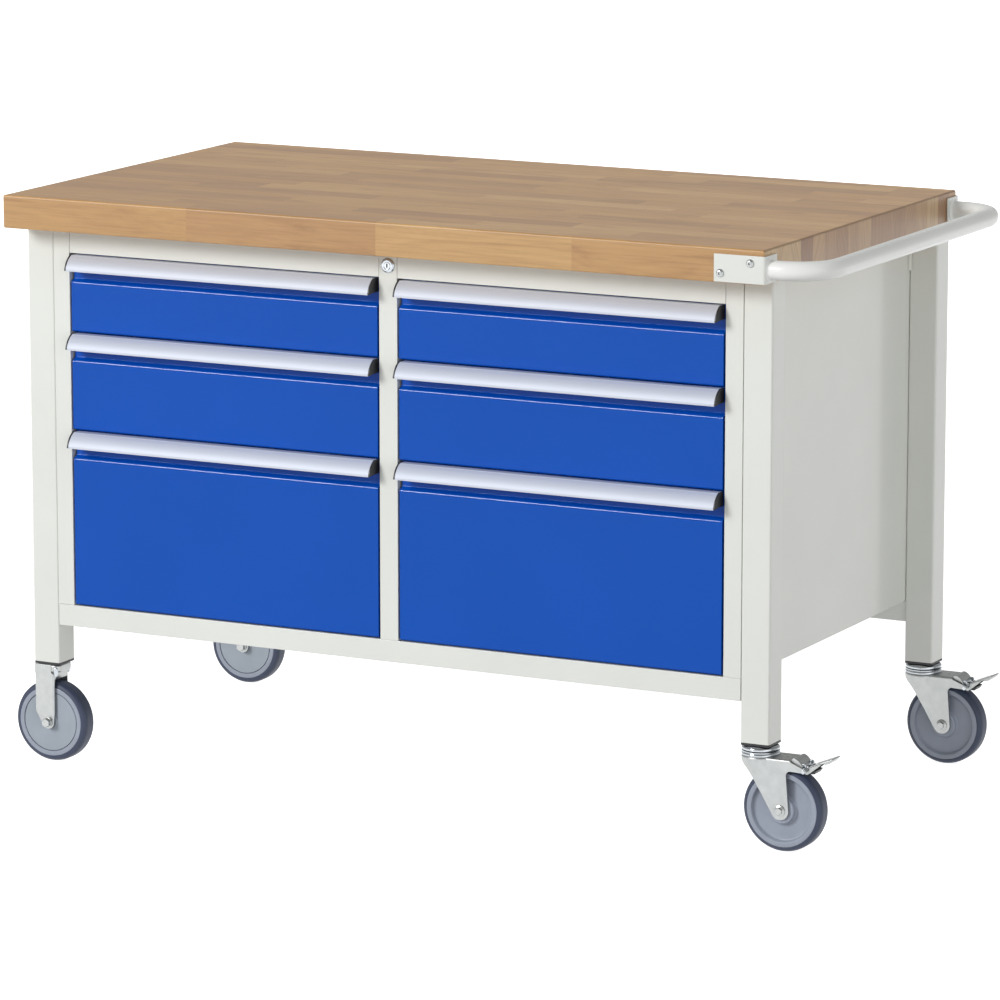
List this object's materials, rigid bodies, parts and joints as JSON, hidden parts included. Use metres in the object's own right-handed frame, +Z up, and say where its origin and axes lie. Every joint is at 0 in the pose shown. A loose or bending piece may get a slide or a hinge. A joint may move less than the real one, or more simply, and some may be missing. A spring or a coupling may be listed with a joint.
{
  "type": "workbench with drawers",
  "caption": "Mobile workbench: beech worktop on square steel legs, steel drawer cabinet with full-width handles, side push bar, fixed and braked swivel casters.",
  "frame": {"origin": "centre of the bounding box's underside, on the floor the wheels stand on", "axes": "+X along the bench towards the push bar, -Y the way the drawers open, +Z up"},
  "size_m": [1.374, 0.7086, 0.88],
  "materials": {
    "beech": "oiled",
    "grey_paint": "satin powder coat",
    "blue_paint": "satin powder coat",
    "aluminium": "anodised",
    "zinc": "zinc plated",
    "bright_steel": "polished",
    "black_plastic": "moulded",
    "tyre": "moulded"
  },
  "bodies": {
    "root": {"worktop": "beech", "leg_front_left": "grey_paint", "leg_plug_front_left": "black_plastic", "leg_front_right": "grey_paint", "leg_plug_front_right": "black_plastic", "leg_rear_left": "grey_paint", "leg_plug_rear_left": "black_plastic", "leg_rear_right": "grey_paint", "leg_plug_rear_right": "black_plastic", "side_panel_left": "grey_paint", "side_panel_right": "grey_paint", "centre_divider": "grey_paint", "back_panel": "grey_paint", "floor_panel": "grey_paint", "bottom_rail": "grey_paint", "top_rail_left": "grey_paint", "top_rail_right": "grey_paint", "push_bar": "grey_paint", "push_bar_bracket_front": "grey_paint", "push_bar_bracket_rear": "grey_paint", "lock_housing": "bright_steel", "runners_left_outer": "zinc", "runners_left_inner": "zinc", "runners_right_inner": "zinc", "runners_right_outer": "zinc", "fork_front_left": "zinc", "axle_front_left": "zinc", "fork_rear_left": "zinc", "axle_rear_left": "zinc", "swivel_head_front_right": "zinc", "swivel_head_rear_right": "zinc"},
    "lock_cylinder": {"lock_cylinder": "bright_steel"},
    "drawer_top_left": {"drawer_top_left_tray": "grey_paint", "drawer_top_left_front": "blue_paint", "drawer_top_left_handle": "aluminium"},
    "drawer_middle_left": {"drawer_middle_left_tray": "grey_paint", "drawer_middle_left_front": "blue_paint", "drawer_middle_left_handle": "aluminium"},
    "drawer_bottom_left": {"drawer_bottom_left_tray": "grey_paint", "drawer_bottom_left_front": "blue_paint", "drawer_bottom_left_handle": "aluminium"},
    "drawer_top_right": {"drawer_top_right_tray": "grey_paint", "drawer_top_right_front": "blue_paint", "drawer_top_right_handle": "aluminium"},
    "drawer_middle_right": {"drawer_middle_right_tray": "grey_paint", "drawer_middle_right_front": "blue_paint", "drawer_middle_right_handle": "aluminium"},
    "drawer_bottom_right": {"drawer_bottom_right_tray": "grey_paint", "drawer_bottom_right_front": "blue_paint", "drawer_bottom_right_handle": "aluminium"},
    "wheel_front_left": {"wheel_front_left": "tyre"},
    "wheel_rear_left": {"wheel_rear_left": "tyre"},
    "swivel_front_right": {"fork_front_right": "zinc", "axle_front_right": "zinc"},
    "wheel_front_right": {"wheel_front_right": "tyre"},
    "brake_pedal_front_right": {"brake_pedal_front_right": "zinc"},
    "swivel_rear_right": {"fork_rear_right": "zinc", "axle_rear_right": "zinc"},
    "wheel_rear_right": {"wheel_rear_right": "tyre"},
    "brake_pedal_rear_right": {"brake_pedal_rear_right": "zinc"}
  },
  "joints": [
    {"name": "lock_turn", "type": "hinge", "parent": "root", "child": "lock_cylinder", "pos_m": [-0.032, -0.29825, 0.809], "axis": [0, -1, 0], "range_deg": [-90, 0]},
    {"name": "drawer_top_left_slide", "type": "slide", "parent": "root", "child": "drawer_top_left", "axis": [0, -1, 0], "range_m": [0, 0.5]},
    {"name": "drawer_middle_left_slide", "type": "slide", "parent": "root", "child": "drawer_middle_left", "axis": [0, -1, 0], "range_m": [0, 0.5]},
    {"name": "drawer_bottom_left_slide", "type": "slide", "parent": "root", "child": "drawer_bottom_left", "axis": [0, -1, 0], "range_m": [0, 0.5]},
    {"name": "drawer_top_right_slide", "type": "slide", "parent": "root", "child": "drawer_top_right", "axis": [0, -1, 0], "range_m": [0, 0.5]},
    {"name": "drawer_middle_right_slide", "type": "slide", "parent": "root", "child": "drawer_middle_right", "axis": [0, -1, 0], "range_m": [0, 0.5]},
    {"name": "drawer_bottom_right_slide", "type": "slide", "parent": "root", "child": "drawer_bottom_right", "axis": [0, -1, 0], "range_m": [0, 0.5]},
    {"name": "wheel_front_left_spin", "type": "hinge", "parent": "root", "child": "wheel_front_left", "pos_m": [-0.6245, -0.27575, 0.0625], "axis": [0, 1, 0], "continuous": true},
    {"name": "wheel_rear_left_spin", "type": "hinge", "parent": "root", "child": "wheel_rear_left", "pos_m": [-0.6245, 0.32625, 0.0625], "axis": [0, 1, 0], "continuous": true},
    {"name": "swivel_front_right_turn", "type": "hinge", "parent": "root", "child": "swivel_front_right", "pos_m": [0.5605, -0.27575, 0.14], "axis": [0, 0, 1], "continuous": true},
    {"name": "wheel_front_right_spin", "type": "hinge", "parent": "swivel_front_right", "child": "wheel_front_right", "pos_m": [0.6005, -0.27575, 0.0625], "axis": [0, 1, 0], "continuous": true},
    {"name": "brake_front_right_press", "type": "hinge", "parent": "swivel_front_right", "child": "brake_pedal_front_right", "pos_m": [0.6365, -0.27575, 0.1235], "axis": [0, 1, 0], "range_deg": [0, 12]},
    {"name": "swivel_rear_right_turn", "type": "hinge", "parent": "root", "child": "swivel_rear_right", "pos_m": [0.5605, 0.32625, 0.14], "axis": [0, 0, 1], "continuous": true},
    {"name": "wheel_rear_right_spin", "type": "hinge", "parent": "swivel_rear_right", "child": "wheel_rear_right", "pos_m": [0.6005, 0.32625, 0.0625], "axis": [0, 1, 0], "continuous": true},
    {"name": "brake_rear_right_press", "type": "hinge", "parent": "swivel_rear_right", "child": "brake_pedal_rear_right", "pos_m": [0.6365, 0.32625, 0.1235], "axis": [0, 1, 0], "range_deg": [0, 12]}
  ]
}
